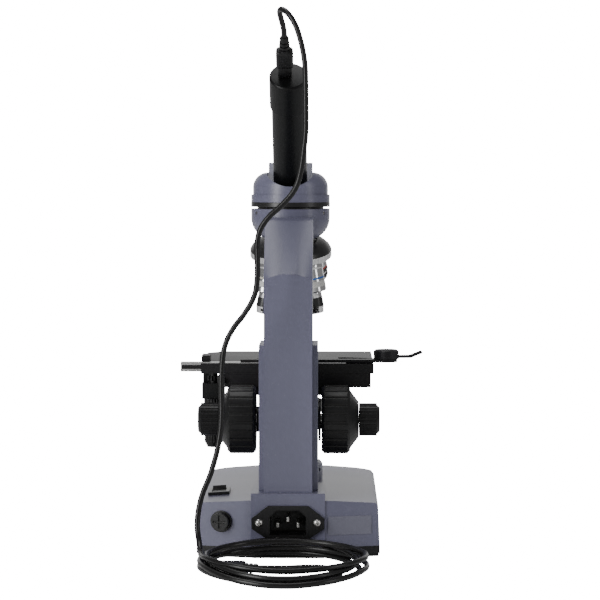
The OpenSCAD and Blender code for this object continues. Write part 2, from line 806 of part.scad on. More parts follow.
module head_ring() {
    color(black) translate([0, axis_y, 0]) difference() {
        union() {
            translate([0, 0, ring_z]) cylinder(r = bowl_r + 0.15, h = 3.5);
            translate([0, 0, socket_z + gap]) cylinder(r = socket_r, h = ring_z - socket_z);
        }
        translate([0, 0, socket_z - 1]) cylinder(r = 12, h = 20);
    }
}

module head_prism() {
    color(glass) translate([-7, axis_y - 6, ring_z + 5]) cube([14, 12, 12]);
}

module eyepiece_tube() {
    color(black) on_tube() difference() {
        union() {
            translate([0, 0, -9]) cylinder(r = 11.95, h = 9);
            cylinder(r = 12.1, h = 0.8);
        }
        translate([0, 0, -10]) cylinder(r = 11.65, h = 12);
    }
}

module camera_body() {
    color(black) on_tube() difference() {
        union() {
            translate([0, 0, 0.8]) cylinder(r = camera_r, h = camera_l - camera_cap_l - 0.8);
            translate([0, 0, -8.5]) cylinder(r = 11.6, h = 10);
        }
        translate([0, 0, -9]) cylinder(r = 9.5, h = camera_l);
    }
}

module camera_cap() {
    color(black) on_tube() difference() {
        union() {
            translate([0, 0, camera_l - camera_cap_l]) cylinder(r = camera_cap_r, h = camera_cap_l - 1);
            translate([0, 0, camera_l - 1]) cylinder(r1 = camera_cap_r, r2 = camera_cap_r - 1, h = 1);
        }
        translate([0, 0, camera_l - camera_cap_l - 1]) cylinder(r = camera_cap_r - 2, h = camera_cap_l - 2);
        translate([plug_x, 0, camera_l]) cube([8.2, 4.2, 20], center = true);
    }
}

module camera_sensor() {
    color(glass) on_tube() union() {
        translate([0, 0, 8]) cylinder(r = 9.4, h = 2);
        translate([-6, -6, camera_l - camera_cap_l - 12]) cube([12, 12, 8]);
    }
}

module usb_plug() {
    color(black) on_tube() translate([plug_x, 0, 0]) union() {
        translate([0, 0, camera_l - 1 + plug_l / 2 + 1.2]) cube([12, 8.4, plug_l - 2], center = true);
        translate([0, 0, camera_l + 2]) cube([8, 4, 9], center = true);
        translate([0, 0, camera_l + plug_l - 1]) cylinder(r1 = 3.9, r2 = 3, h = relief_l + 1);
    }
}

module stage_carrier() {
    back = housing_front + gap;
    color(black) difference() {
        union() {
            slab(34, back, back + 6.2, shaft_z - 18, lower_z - 0.05);
            slab(34, back, back + 8.5, carrier_z, lower_z - 0.05);
            slab(60, back + 8, axis_y + 30, carrier_z, lower_z - 0.05);
            for (s = [-1, 1]) translate([s * 9.8, cross_y, 0])
                slab(6, -1.5, 12, cross_z - 6, carrier_z + 1);
        }
        translate([0, 0, shaft_z - 19]) linear_extrude(60)
            polygon([[-guide_w / 2 - 0.1, back - 1], [-guide_w / 2 - 2.1, housing_front + guide_t + 0.1],
                [guide_w / 2 + 2.1, housing_front + guide_t + 0.1], [guide_w / 2 + 0.1, back - 1]]);
        translate([0, axis_y, carrier_z - 1]) cylinder(r = 24, h = 20);
        translate([0, cross_y + 1.6, cross_z]) rod_x(cross_r + run, -20, 20);
    }
}

// Rack of the coarse drive, on a tongue that reaches through the housing into the column
module focus_rack() {
    tongue_w = guide_w / 2 - 1;
    color(steel) union() {
        translate([tongue_w / 2, rack_y, shaft_z - 4 * PI * tooth_m])
            rotate([0, -90, 0]) linear_extrude(tongue_w) mirror([0, 1])
                rack_2d(lift_up + lift_down + 6, 4, tooth_m);
        slab(tongue_w, rack_y + 3, housing_front + guide_t + 0.1, shaft_z - 18, shaft_z + 9);
    }
}

module lower_plate() {
    color(black) difference() {
        union() {
            translate([lower_left, plate_rear, lower_z])
                cube([stage_right - 2 - lower_left, stage_d - 15, lower_t]);
            for (s = [-1, 1]) translate([s * 36 - 3, stage_rear + 26, upper_z - 1])
                cube([6, stage_d - 48, 1.9]);
            translate([xy_x + pitch_r, stage_rear + 24, upper_z - 7]) rotate([0, 0, -90])
                rack_part(50);
        }
        translate([0, axis_y, lower_z - 1]) cylinder(r = 21, h = 30);
    }
}

// A stage rack of the given length, with its teeth on -Y
module rack_part(length) {
    linear_extrude(4) mirror([0, 1]) rack_2d(length, 5.2, tooth_m);
}

// The upper plate, with a slot that stays over the light at both ends of its travel
module upper_plate() {
    inset = plate_rear - stage_rear;
    slot_y1 = axis_y + 12;
    slot_y0 = axis_y - condenser_nose_r - 0.5 - stage_travel;
    color(black) difference() {
        translate([stage_left, stage_rear, upper_z]) linear_extrude(upper_t)
            polygon([[0, inset], [stage_w, inset], [stage_w, stage_d], [12, stage_d],
                [0, stage_d - 14]]);
        translate([stage_left - 1, rail_y0 - run, stage_top - rail_h])
            cube([stage_w + 2, rail_y1 + 0.8 - rail_y0, rail_h + 1]);
        translate([xy_x, xy_y, stage_top - rail_h]) cylinder(r = pitch_r + 1.2, h = rail_h + 1);
        translate([xy_x, xy_y, upper_z - 1]) cylinder(r = xy_bore_r + run, h = 20);
        slab(26, slot_y0, slot_y1, upper_z - 1, stage_top + 1);
        for (s = [-1, 1]) translate([s * 36 - 3.1, stage_rear + 5, upper_z - 1])
            cube([6.2, stage_d - 20, 2.2]);
    }
}

module xy_gearbox() {
    color(black) difference() {
        union() {
            translate([stage_left, xy_y - 6.5, stage_top]) cube([6, 18, 5]);
            translate([stage_left + 0.3, xy_y - 7, xy_top + 0.5]) cube([16, 14, upper_z - 8 - xy_top - 0.5]);
            translate([stage_left + 0.3, xy_y + pitch_r + 3, xy_top + 0.5])
                cube([10.5, 6, upper_z - xy_top - 0.5]);
        }
        translate([xy_x, xy_y, xy_top - 1]) cylinder(r = xy_bore_r + run, h = upper_z + 1 - xy_top);
        translate([xy_x, xy_y, stage_top - 1]) cylinder(r = pitch_r + 1.2, h = 1.6);
    }
}

module y_knob() {
    color(black) translate([xy_x, xy_y, 0]) difference() {
        union() {
            translate([0, 0, xy_top - y_grip_l]) grip(7, y_grip_l, 20, 0.8, 0.4);
            translate([0, 0, xy_top - 1]) cylinder(r = xy_bore_r, h = upper_z + 2 - xy_top);
            translate([0, 0, upper_z - 6.6]) linear_extrude(3.6) gear_2d(pinion_teeth, tooth_m);
        }
        translate([0, 0, xy_top - 30]) cylinder(r = xy_inner_r + run, h = 60);
    }
}

module x_knob() {
    top = xy_top - y_grip_l - 0.5;
    color(black) translate([xy_x, xy_y, 0]) union() {
        translate([0, 0, top - x_grip_l]) grip(6.6, x_grip_l, 20, 0.8, 0.4);
        translate([0, 0, top - x_grip_l - 3.5]) cylinder(r1 = 4.6, r2 = 6.2, h = 3.5);
        translate([0, 0, top - 1]) cylinder(r = xy_inner_r, h = stage_top - top);
        translate([0, 0, stage_top - rail_h + 0.4]) linear_extrude(4.6) gear_2d(pinion_teeth, tooth_m);
    }
}

module x_rail() {
    z0 = stage_top - rail_h + 0.2;
    length = 118;
    left = stage_left - 14.5;
    color(steel) difference() {
        union() {
            translate([left, rail_y0, z0]) cube([length, rail_y1 - rail_y0 - 3, rail_h + 0.6]);
            translate([left + length / 2, rail_y1, z0 + 0.5]) linear_extrude(3.8)
                rack_2d(length - 2, 3.5, tooth_m);
        }
        translate([left - 1, rail_y0 - 1, z0 + 1.9]) cube([length + 2, 2.6, rail_h - 3.2]);
    }
}

module slide_holder() {
    z = holder_z;
    lug_r = 8;
    color(black) difference() {
        union() {
            translate([-35, rail_y0 - 1.4, z]) cube([clip_x + 35, rail_y1 - rail_y0 - 1.5, 2]);
            translate([clip_x, clip_y, z]) cylinder(r = lug_r, h = 2);
            translate([-30, rail_y1 - 2.9, z - 0.6]) cube([6, 17.9, 1.4]);
            translate([-30, rail_y1 + 13, z - 0.6]) cube([12, 4, 1.4]);
        }
        translate([clip_x, clip_y, z - 1]) cylinder(r = 2 + run, h = 5);
    }
}

module clip_finger() {
    z = holder_z + 2 + gap;
    color(black) translate([clip_x, clip_y, 0]) union() {
        translate([0, 0, z]) cylinder(r = 9, h = 5.6);
        translate([0, 0, z + 5.6]) cylinder(r1 = 9, r2 = 7.5, h = 1);
        translate([0, 0, holder_z - 0.5]) cylinder(r = 2, h = 4);
        translate([-4, 2, z + 0.2]) cube([5, 10.5, 1]);
        translate([-4, 9, holder_z - 0.4]) cube([5, 3.5, 2.9]);
        translate([-32, -1.5, holder_z - 0.5]) intersection() {
            rotate_extrude() translate([30, 0]) square([4.5, 1.2]);
            translate([-2, 10.5, -1]) cube([60, 60, 4]);
        }
        rotate([0, 0, 8]) translate([0, 2.2, z + 0.4]) rotate([90, 0, 0]) linear_extrude(4.4)
            polygon([[6, 0], [17.5, 0], [26.2, 3.4], [25.4, 5.2], [17, 2.1], [6, 2.1]]);
    }
}

module condenser() {
    z0 = condenser_z;
    color(black) difference() {
        union() {
            translate([0, axis_y, z0]) cylinder(r = condenser_r, h = 24);
            translate([0, axis_y, z0 + 24]) cylinder(r1 = condenser_r, r2 = 11, h = 8);
            translate([0, axis_y, z0 + 24]) cylinder(r = condenser_nose_r, h = condenser_top - z0 - 24);
            translate([0, axis_y, ring_top - 12]) cylinder(r = condenser_r + 4.5, h = 9);
            slab(13, cross_y + 4.2 + small_m, axis_y - condenser_r + 2, ring_top - 12, ring_top - 1);
            translate([6.5, cross_y + 1.6 + small_pitch_r, cross_z + 4 * PI * small_m]) rotate([0, -90, 0])
                linear_extrude(13) mirror([0, 1]) rack_2d(condenser_drop + 5.5, 2.4, small_m);
            translate([0, axis_y, z0 - 4.4]) cylinder(r = condenser_r - 2, h = 5);
            translate([0, axis_y + condenser_r + 0.5, z0 - 9]) cylinder(r = 1.8, h = 12);
        }
        translate([0, axis_y, z0 - 5]) cylinder(r = 15, h = 29);
        translate([0, axis_y, z0 + 20]) cylinder(r = 8.5, h = 60);
    }
}

module condenser_lens() {
    color(glass) translate([0, axis_y, 0]) union() {
        translate([0, 0, condenser_top - 5]) cylinder(r = 8.45, h = 4.7);
        translate([0, 0, condenser_z + 12]) cylinder(r = 14.9, h = 6);
    }
}

// Ring that turns on the foot of the condenser and closes the iris, with its lever to the left
module iris_lever() {
    color(black) translate([0, axis_y, condenser_z - 3.6]) difference() {
        union() {
            cylinder(r = condenser_r, h = 3.3);
            translate([-condenser_r - 15, -2, 0.6]) cube([18, 4, 2]);
        }
        translate([0, 0, -1]) cylinder(r = condenser_r - 2 + run, h = 6);
        for (a = [-40 : 10 : 40]) rotate([0, 0, a]) translate([0, condenser_r + 0.5, -1])
            cylinder(r = 2.4, h = 6);
    }
}

// Ring for a colour filter, which swings out on a post under the condenser
module filter_holder() {
    pivot = condenser_r + 0.5;
    color(black) translate([0, axis_y, condenser_z - 8.5]) difference() {
        union() {
            cylinder(r = condenser_r - 2, h = 3.6);
            translate([0, pivot, 0]) cylinder(r = 4, h = 3.6);
            translate([-3, condenser_r - 6, 0]) cube([6, 6, 3.6]);
        }
        translate([0, 0, 1]) cylinder(r = condenser_r - 4, h = 4);
        translate([0, 0, -1]) cylinder(r = condenser_r - 5.5, h = 4);
        translate([0, pivot, -1]) cylinder(r = 1.8 + run, h = 8);
    }
}

module condenser_knob() {
    color(black) translate([0, cross_y + 1.6, cross_z]) union() {
        rod_x(cross_r, -14, 24);
        rotate([0, 90, 0]) translate([0, 0, 17.6]) grip(4.6, 9, 14, 0.7, 0.4);
        rotate([0, 90, 0]) rotate([0, 0, 18]) translate([0, 0, -6]) linear_extrude(12)
            gear_2d(small_teeth, small_m);
    }
}

// Sweeps a tube of n sides along points, with rings square to the route
module tube(points, r, n) {
    last = len(points) - 1;
    ring = [for (i = [0 : last])
        let (a = points[max(i - 1, 0)], b = points[min(i + 1, last)], t = (b - a) / norm(b - a),
            u0 = cross(t, [1, 0, 0]), u = u0 / norm(u0), v = cross(t, u))
        for (k = [0 : n - 1]) points[i] + r * (cos(k * 360 / n) * u + sin(k * 360 / n) * v)];
    sides = [for (i = [0 : last - 1]) for (k = [0 : n - 1]) let (m = (k + 1) % n)
        each [[i * n + k, (i + 1) * n + k, (i + 1) * n + m], [i * n + k, (i + 1) * n + m, i * n + m]]];
    ends = [[for (k = [0 : n - 1]) k], [for (k = [n - 1 : -1 : 0]) last * n + k]];
    polyhedron(ring, concat(sides, ends));
}

// Points of a smooth curve through the route, with several steps in each span
function smooth_point(p0, p1, p2, p3, t) = 0.5 * (2 * p1 + (p2 - p0) * t
    + (2 * p0 - 5 * p1 + 4 * p2 - p3) * t * t + (3 * p1 - p0 - 3 * p2 + p3) * t * t * t);
function smooth(p, steps) = let (last = len(p) - 1) concat([for (i = [0 : last - 1])
    for (k = [0 : steps - 1]) smooth_point(p[max(i - 1, 0)], p[i], p[i + 1], p[min(i + 2, last)], k / steps)],
    [p[last]]);

module usb_cord() {
    color(black) tube(smooth(cord_route, 2), cord_d / 2, cord_sides);
}

module usb_cord_coil() {
    r = 3;
    color(black) translate([coil_x, coil_y, 0]) rotate_extrude($fn = 96)
        union() {
            translate([coil_inner_r, 0]) square([coil_r - coil_inner_r - r, coil_h]);
            translate([coil_inner_r, 0]) square([coil_r - coil_inner_r, coil_h - r]);
            translate([coil_r - r, coil_h - r]) circle(r = r);
        }
}

module usb_a_plug() {
    color(black) translate([0, usb_a_y, usb_a_z]) union() {
        translate([-47, -8, -4.1]) cube([20, 16, 8.2]);
        translate([-56, -6, -2.25]) cube([10, 12, 4.5]);
        rod_x(3.6, -27.5, -18.5);
    }
}

base_housing();
base_tray();
base_feet();
arm();
stand_screws();
focus_housing();
shaft_bushes();
dovetail_guide();
power_inlet();
inlet_pins();
small_screws();
fuse_holder();
fuse();
fuse_cap();
rating_plate();
switch_frame();
switch_rocker();
lamp_collar();
collector_lens();
lamp();
power_board();
nosepiece_mount();
nosepiece_pivot();
head_housing();
head_ring();
head_prism();
eyepiece_tube();
camera_body();
camera_cap();
camera_sensor();
usb_plug();
nosepiece();
nosepiece_rim();
objective_4x();
objective_10x();
objective_40x();
objective_100x();
coarse_knobs();
coarse_shaft();
fine_knobs();
fine_shaft();
tension_ring();
stage_carrier();
focus_rack();
lower_plate();
upper_plate();
xy_gearbox();
y_knob();
x_knob();
x_rail();
slide_holder();
clip_finger();
condenser();
condenser_lens();
iris_lever();
filter_holder();
condenser_knob();
usb_cord();
usb_cord_coil();
usb_a_plug();
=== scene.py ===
from math import cos, pi, radians, sin

import bmesh
import bpy
from mathutils import Matrix, Vector


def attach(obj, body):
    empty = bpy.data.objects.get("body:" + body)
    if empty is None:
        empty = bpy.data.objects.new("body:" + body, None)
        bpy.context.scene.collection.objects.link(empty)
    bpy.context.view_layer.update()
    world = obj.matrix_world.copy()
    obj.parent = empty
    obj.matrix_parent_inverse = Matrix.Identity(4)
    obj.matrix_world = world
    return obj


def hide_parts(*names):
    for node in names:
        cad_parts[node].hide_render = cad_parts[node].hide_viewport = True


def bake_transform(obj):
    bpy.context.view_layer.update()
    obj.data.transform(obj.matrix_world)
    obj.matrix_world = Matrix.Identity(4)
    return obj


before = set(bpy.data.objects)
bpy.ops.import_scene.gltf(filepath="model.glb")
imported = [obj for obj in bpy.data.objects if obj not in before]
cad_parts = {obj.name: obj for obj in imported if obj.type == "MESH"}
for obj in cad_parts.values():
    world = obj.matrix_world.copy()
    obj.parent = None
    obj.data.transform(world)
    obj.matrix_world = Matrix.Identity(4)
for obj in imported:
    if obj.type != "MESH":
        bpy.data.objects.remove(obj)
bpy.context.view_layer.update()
MM = 0.001

# ---------------------------------------------------------------------------------------------
# Camera.
# It stands behind the microscope, on the power inlet's side, a little to the right of the
# middle and just below the height of the head, and looks slightly down.
camera_data = bpy.data.cameras.new("camera")
camera_data.lens = 140.6
camera_data.sensor_width = 36
camera = bpy.data.objects.new("camera", camera_data)
camera.location = (0.0287, -1.695, 0.274)
camera.rotation_euler = (radians(90 - 3.42), 0, radians(0.73))
bpy.context.collection.objects.link(camera)
bpy.context.scene.camera = camera

# ---------------------------------------------------------------------------------------------
# Camera cord.
# A thin black PVC cord. It leaves the plug's strain relief, arches over, hangs down behind the
# arm to the left of the base and lies there in a loose coil that ends in its USB plug.
CORD_D = 0.004
hanging = [(-2.5, -92, 358), (-2.6, -95.5, 361.5), (-3.2, -99, 365), (-4.2, -102.6, 368.6),
           (-5, -106.2, 371.9), (-5.1, -109.6, 374.1), (-4.2, -113.1, 375), (-2.2, -116.7, 374.2),
           (0.6, -119.9, 371.8), (3.4, -122, 368), (6, -123, 363), (8.4, -123.2, 356),
           (10.6, -123.1, 347), (12, -123, 337), (12.4, -122.5, 326), (12.5, -122, 314),
           (12.6, -121.5, 301), (12.3, -121.5, 290.8), (11.1, -121.5, 280.3), (9, -121.5, 266),
           (5.3, -121.5, 254.5), (-2.7, -121.5, 244.5), (-13.8, -121.5, 234),
           (-19.3, -121.5, 223.6), (-20, -121.5, 208), (-20.2, -121.5, 194), (-22, -121.5, 183),
           (-29.2, -122, 170), (-36.5, -123, 160.5), (-42, -124, 148.5), (-44, -125, 132),
           (-44.2, -126, 118), (-44, -127, 104), (-45.5, -128.5, 86.4), (-51, -131.5, 64.5),
           (-57.5, -135.5, 47.7), (-60, -139, 30.3), (-58.6, -144.5, 20.5)]
# Radius and height of the cord at each quarter turn, from the left, then the near side
coil_stops = [(54.5, 14.2), (44, 9.5), (54.8, 12.5), (44, 14.8),
              (50.6, 12.6), (52.5, 6), (49, 9), (54.5, 13.8),
              (55.3, 9.6), (55.4, 2.1), (55.3, 6.2), (49.5, 9.8),
              (55.4, 5.8), (48.5, 2.3), (50.5, 3), (54.5, 5.6),
              (50.2, 8.8), (42, 2.3)]
coil_centre = (-2, -155.4)
into_plug = [(16, -193, 2.3), (29, -181, 2.2), (35.5, -166, 2.2), (33.5, -153, 2.2),
             (25, -144.5, 2.3), (11, -145, 2.6), (1, -151.5, 3.2), (-8, -155.9, 3.9),
             (-14, -157, 4.2), (-19, -157, 4.2)]


def loose_coil(stops, centre, per_quarter):
    """Points along the turns, eased from one quarter turn's radius and height to the next."""
    points = []
    for i in range(len(stops) - 1):
        for k in range(per_quarter):
            t = k / per_quarter
            ease = t * t * (3 - 2 * t)
            r = stops[i][0] + (stops[i + 1][0] - stops[i][0]) * ease
            z = stops[i][1] + (stops[i + 1][1] - stops[i][1]) * ease
            a = pi + (i + t) * pi / 2
            points.append((centre[0] + r * cos(a), centre[1] + r * sin(a), z))
    return points


def tube_along(name, points, radius, around):
    """A round tube along a smooth line, and the points that its line runs through."""
    line = bpy.data.curves.new(name + "_line", "CURVE")
    line.dimensions = "3D"
    line.resolution_u = 4
    spline = line.splines.new("BEZIER")
    spline.bezier_points.add(len(points) - 1)
    for knot, point in zip(spline.bezier_points, points):
        knot.co = Vector(point) * MM
        knot.handle_left_type = knot.handle_right_type = "AUTO"
    holder = bpy.data.objects.new(name + "_line", line)
    bpy.context.collection.objects.link(holder)
    bpy.context.view_layer.update()
    centres = bpy.data.meshes.new_from_object(holder.evaluated_get(
        bpy.context.evaluated_depsgraph_get()))
    path = [tuple(v.co) for v in centres.vertices]
    line.bevel_depth = radius
    line.bevel_resolution = around
    line.use_fill_caps = True
    bpy.context.view_layer.update()
    mesh = bpy.data.meshes.new_from_object(holder.evaluated_get(
        bpy.context.evaluated_depsgraph_get()))
    bpy.data.objects.remove(holder)
    mesh.name = name
    mesh.shade_smooth()
    tube = bpy.data.objects.new(name, mesh)
    bpy.context.collection.objects.link(tube)
    return tube, path


def new_material(name, color, roughness, metallic=0.0):
    """A material with its Principled shader, and its node tree."""
    material = bpy.data.materials.new(name)
    material.use_nodes = True
    shader = material.node_tree.nodes["Principled BSDF"]
    shader.inputs["Base Color"].default_value = (*color, 1)
    shader.inputs["Roughness"].default_value = roughness
    shader.inputs["Metallic"].default_value = metallic
    return material, material.node_tree, shader


def surface_grain():
    """Group: a fine grain's height, a broad cloudy mask, and sparse specks of dust."""
    group = bpy.data.node_groups.new("surface grain", "ShaderNodeTree")
    for name, value in (("Grain Scale", 900.0), ("Cloud Scale", 12.0), ("Speck Scale", 260.0)):
        socket = group.interface.new_socket(name, in_out="INPUT", socket_type="NodeSocketFloat")
        socket.default_value = value
    for name in ("Grain", "Cloud", "Specks"):
        group.interface.new_socket(name, in_out="OUTPUT", socket_type="NodeSocketFloat")
    inputs = group.nodes.new("NodeGroupInput")
    outputs = group.nodes.new("NodeGroupOutput")
    place = group.nodes.new("ShaderNodeTexCoord")
    for name, detail in (("Grain", 3.0), ("Cloud", 5.0)):
        noise = group.nodes.new("ShaderNodeTexNoise")
        noise.inputs["Detail"].default_value = detail
        group.links.new(place.outputs["Object"], noise.inputs["Vector"])
        group.links.new(inputs.outputs[name + " Scale"], noise.inputs["Scale"])
        group.links.new(noise.outputs["Fac"], outputs.inputs[name])
    cells = group.nodes.new("ShaderNodeTexVoronoi")
    cells.inputs["Randomness"].default_value = 1.0
    near = group.nodes.new("ShaderNodeMapRange")
    near.inputs["From Min"].default_value = 0.10
    near.inputs["From Max"].default_value = 0.04
    group.links.new(place.outputs["Object"], cells.inputs["Vector"])
    group.links.new(inputs.outputs["Speck Scale"], cells.inputs["Scale"])
    group.links.new(cells.outputs["Distance"], near.inputs["Value"])
    group.links.new(near.outputs["Result"], outputs.inputs["Specks"])
    return group


GRAIN = surface_grain()


def grained(name, color, cloud_color, roughness, grain_scale, bump, metallic=0.0,
            rough_spread=0.08, coat=0.0, speck=0.0, specular=0.5):
    """A moulded or painted finish: cloudy colour, uneven gloss, a fine raised grain and dust."""
    material, tree, shader = new_material(name, color, roughness, metallic)
    shader.inputs["Specular IOR Level"].default_value = specular
    shader.inputs["Coat Weight"].default_value = coat
    shader.inputs["Coat Roughness"].default_value = 0.25
    grain = tree.nodes.new("ShaderNodeGroup")
    grain.node_tree = GRAIN
    grain.inputs["Grain Scale"].default_value = grain_scale
    colors = tree.nodes.new("ShaderNodeMix")
    colors.data_type = "RGBA"
    colors.inputs["A"].default_value = (*color, 1)
    colors.inputs["B"].default_value = (*cloud_color, 1)
    tree.links.new(grain.outputs["Cloud"], colors.inputs["Factor"])
    if speck:
        dust = tree.nodes.new("ShaderNodeMix")
        dust.data_type = "RGBA"
        share = tree.nodes.new("ShaderNodeMath")
        share.operation = "MULTIPLY"
        share.inputs[1].default_value = speck
        dust.inputs["B"].default_value = (0.42, 0.42, 0.44, 1)
        tree.links.new(grain.outputs["Specks"], share.inputs[0])
        tree.links.new(share.outputs["Value"], dust.inputs["Factor"])
        tree.links.new(colors.outputs["Result"], dust.inputs["A"])
        tree.links.new(dust.outputs["Result"], shader.inputs["Base Color"])
    else:
        tree.links.new(colors.outputs["Result"], shader.inputs["Base Color"])
    gloss = tree.nodes.new("ShaderNodeMapRange")
    gloss.inputs["To Min"].default_value = roughness - rough_spread
    gloss.inputs["To Max"].default_value = roughness + rough_spread
    tree.links.new(grain.outputs["Cloud"], gloss.inputs["Value"])
    tree.links.new(gloss.outputs["Result"], shader.inputs["Roughness"])
    relief = tree.nodes.new("ShaderNodeBump")
    relief.inputs["Strength"].default_value = bump
    relief.inputs["Distance"].default_value = 0.0004
    tree.links.new(grain.outputs["Grain"], relief.inputs["Height"])
    tree.links.new(relief.outputs["Normal"], shader.inputs["Normal"])
    return material


cord_sheath = grained("black cord sheath", (0.006, 0.006, 0.0065), (0.010, 0.0095, 0.0095), 0.3,
                      1400, 0.05, specular=0.4)
coil = loose_coil(coil_stops, coil_centre, 4)
camera_cord, cord_line = tube_along("camera_cord", hanging + coil + into_plug,
                                    CORD_D / 2, 3)
camera_cord.data.materials.append(cord_sheath)


def piece(name, mesh_or_bm, slot, *materials):
    """An object at the origin from a mesh or a bmesh, with its materials; the slot is not used."""
    if isinstance(mesh_or_bm, bmesh.types.BMesh):
        mesh = bpy.data.meshes.new(name)
        mesh_or_bm.to_mesh(mesh)
        mesh_or_bm.free()
    else:
        mesh = mesh_or_bm
        mesh.name = name
    mesh.materials.clear()
    for material in materials:
        mesh.materials.append(material)
    mesh.shade_smooth()
    mesh.set_sharp_from_angle(angle=radians(34))
    made = bpy.data.objects.new(name, mesh)
    bpy.context.collection.objects.link(made)
    return made


def lathe(profile, steps, matrix):
    """A closed turned shape: the profile's (radius, height) points in mm, spun about Z."""
    turned = bmesh.new()
    corners = [turned.verts.new((r * MM, 0, z * MM)) for r, z in profile]
    rim = [turned.edges.new(pair) for pair in zip(corners, corners[1:])]
    bmesh.ops.spin(turned, geom=corners + rim, cent=(0, 0, 0), axis=(0, 0, 1), dvec=(0, 0, 0),
                   angle=2 * pi, steps=steps, use_merge=True)
    bmesh.ops.remove_doubles(turned, verts=turned.verts, dist=1e-6)
    bmesh.ops.recalc_face_normals(turned, faces=turned.faces)
    bmesh.ops.transform(turned, matrix=matrix, verts=turned.verts)
    return turned


def box_mm(bm, size, centre, edge, segments=3):
    """Adds a box with rounded edges, its size and centre in mm."""
    made = bmesh.ops.create_cube(bm, size=1.0)["verts"]
    bmesh.ops.scale(bm, vec=Vector(size) * MM, verts=made)
    bmesh.ops.translate(bm, vec=Vector(centre) * MM, verts=made)
    edges = list({e for v in made for e in v.link_edges})
    if edge:
        bmesh.ops.bevel(bm, geom=edges, offset=edge * MM, offset_type="OFFSET", affect="EDGES",
                        segments=segments, profile=0.5, material=-1)


black_moulded = grained("black moulded plug", (0.007, 0.007, 0.0075), (0.011, 0.011, 0.0115), 0.36,
                        1100, 0.1, specular=0.35)
plug_shell = grained("nickel plug shell", (0.62, 0.62, 0.61), (0.7, 0.69, 0.67), 0.22, 700, 0.03,
                     metallic=1.0, rough_spread=0.06)


def add_to(bm, other):
    """Adds another shape to a bmesh, and frees the other."""
    carried = bpy.data.meshes.new("carried")
    other.to_mesh(carried)
    other.free()
    bm.from_mesh(carried)
    bpy.data.meshes.remove(carried)


up_the_tube = Matrix.Translation((0, 0.005, 0.261)) @ Matrix.Rotation(radians(45), 4, "X")
PLUG_X = -2.5
camera_plug = bmesh.new()
box_mm(camera_plug, (8, 4, 6), (PLUG_X, 0, 100.5), 0.3)
box_mm(camera_plug, (9.4, 7, 9), (PLUG_X, 0, 106.7), 0.9, 3)
box_mm(camera_plug, (12, 8.4, 15.4), (PLUG_X, 0, 117.4), 2.4, 5)
for step in range(4):
    box_mm(camera_plug, (7.6, 8.7, 0.9), (PLUG_X, 0, 113.4 + step * 2.4), 0.3, 2)
bmesh.ops.transform(camera_plug, matrix=up_the_tube, verts=camera_plug.verts)
relief = lathe([(0, 124.6), (3.9, 124.6), (3.9, 126.2), (3.1, 126.4), (3.1, 127), (3.75, 127.2),
                (3.75, 129.2), (2.9, 129.4), (2.9, 130), (3.5, 130.2), (3.5, 132.2),
                (2.7, 132.4), (2.7, 133), (3.2, 133.2), (3.2, 135.4), (2.5, 136.9), (0, 136.9)],
               32, up_the_tube @ Matrix.Translation((PLUG_X * MM, 0, 0)))
add_to(camera_plug, relief)
camera_plug = piece("camera_plug", camera_plug, "black_plastic", black_moulded)
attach(camera_plug, "head")
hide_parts("usb_plug")

# ---------------------------------------------------------------------------------------------
# USB plug at the end of the cord.
# A folded and plated steel shell round a white tongue, in a black moulded grip with a ribbed
# sleeve that stops the cord from kinking. It lies inside the coil.
PLUG_Y, PLUG_Z = -157, 4.2
usb_end = bmesh.new()
box_mm(usb_end, (20, 15.6, 8.0), (-37, PLUG_Y, PLUG_Z), 1.6, 4)
for step in range(4):
    for side in (-1, 1):
        box_mm(usb_end, (1.2, 10, 0.5), (-41.5 + step * 3, PLUG_Y, PLUG_Z + side * 3.9), 0.2, 2)
sleeve = lathe([(0, 0), (3.6, 0), (3.6, 2.2), (2.9, 2.4), (2.9, 3), (3.4, 3.2), (3.4, 5.2),
                (2.7, 5.4), (2.7, 6), (3.1, 6.2), (3.1, 8), (2.4, 9), (0, 9)], 32,
               Matrix.Translation((-27.5 * MM, PLUG_Y * MM, PLUG_Z * MM))
               @ Matrix.Rotation(pi / 2, 4, "Y"))
add_to(usb_end, sleeve)
usb_end = piece("usb_end_grip", usb_end, "black_plastic", black_moulded)
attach(usb_end, "root")
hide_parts("usb_a_plug")
shell = bmesh.new()
box_mm(shell, (9.2, 12, 4.5), (-51.4, PLUG_Y, PLUG_Z), 0)
mouth = [f for f in shell.faces if f.normal.x < -0.9]
bmesh.ops.inset_region(shell, faces=mouth, thickness=0.35 * MM, use_even_offset=True)
bmesh.ops.translate(shell, vec=(8.4 * MM, 0, 0), verts=list({v for f in mouth for v in f.verts}))
for side in (-1, 1):
    for dx in (-1, 1):
        box_mm(shell, (1.6, 2.2, 0.1), (-52.2 + dx * 1.6, PLUG_Y + side * 3, PLUG_Z + 2.22), 0)
shell = piece("usb_end_shell", shell, "steel", plug_shell)
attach(shell, "root")
white_insert = grained("white plug insert", (0.8, 0.8, 0.78), (0.72, 0.72, 0.7), 0.4, 500, 0.03)
tongue = bmesh.new()
box_mm(tongue, (7.4, 10.6, 1.6), (-51, PLUG_Y, PLUG_Z + 0.9), 0.1, 1)
tongue = piece("usb_end_tongue", tongue, "black_plastic", white_insert)
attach(tongue, "root")

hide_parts("usb_cord", "usb_cord_coil")
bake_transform(camera_cord)

